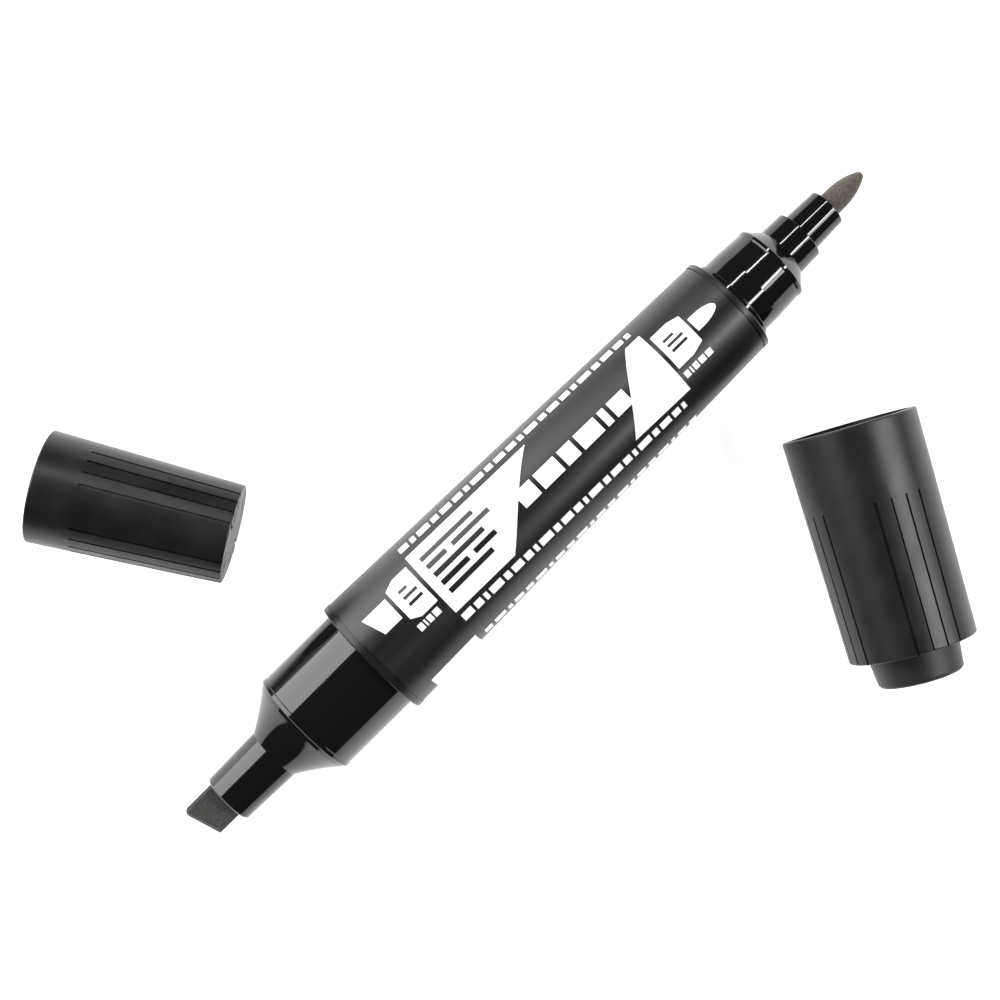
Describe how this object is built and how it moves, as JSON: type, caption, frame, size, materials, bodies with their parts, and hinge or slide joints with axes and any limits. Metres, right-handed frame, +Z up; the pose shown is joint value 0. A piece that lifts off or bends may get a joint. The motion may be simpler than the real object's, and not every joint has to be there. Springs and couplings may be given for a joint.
{
  "type": "calligraphy marker",
  "caption": "Twin-tip calligraphy marker with a flat chisel nib, a bullet nib and two grooved pull-off caps lying beside it.",
  "frame": {"origin": "centre of the overall box in plan, at the surface that the marker and its caps lie on", "axes": "+X along the pen from the chisel nib to the bullet nib, +Y across it towards the fine cap, +Z up from the surface"},
  "size_m": [0.14, 0.1212, 0.0206],
  "materials": {
    "barrel_plastic": "matte black moulded plastic",
    "label_film": "matte black printed film",
    "section_plastic": "polished black moulded plastic",
    "chisel_felt": "ink-soaked felt",
    "bullet_felt": "ink-soaked felt, slightly brown",
    "ink_core": "ink-soaked fibre",
    "clear_wrap": "clear film",
    "cap_plastic": "satin black moulded plastic",
    "boss_plastic": "satin black moulded plastic",
    "seal_plastic": "smooth black plastic"
  },
  "bodies": {
    "pen": {"barrel": "barrel_plastic", "label_film": "label_film", "broad_section": "section_plastic", "broad_nib": "chisel_felt", "fine_section": "section_plastic", "fine_nib_holder": "section_plastic", "fine_nib": "bullet_felt", "ink_reservoir": "ink_core", "reservoir_wrap": "clear_wrap"},
    "broad_cap": {"broad_cap_shell": "cap_plastic", "broad_inner_cap": "boss_plastic"},
    "fine_cap": {"fine_cap_shell": "cap_plastic", "fine_inner_cap": "seal_plastic"}
  },
  "joints": [
    {"name": "broad_cap_lift", "type": "slide", "parent": "pen", "child": "broad_cap", "axis": [0, 0, 1], "range_m": [0, 0.05]},
    {"name": "fine_cap_lift", "type": "slide", "parent": "pen", "child": "fine_cap", "axis": [0, 0, 1], "range_m": [0, 0.05]}
  ]
}
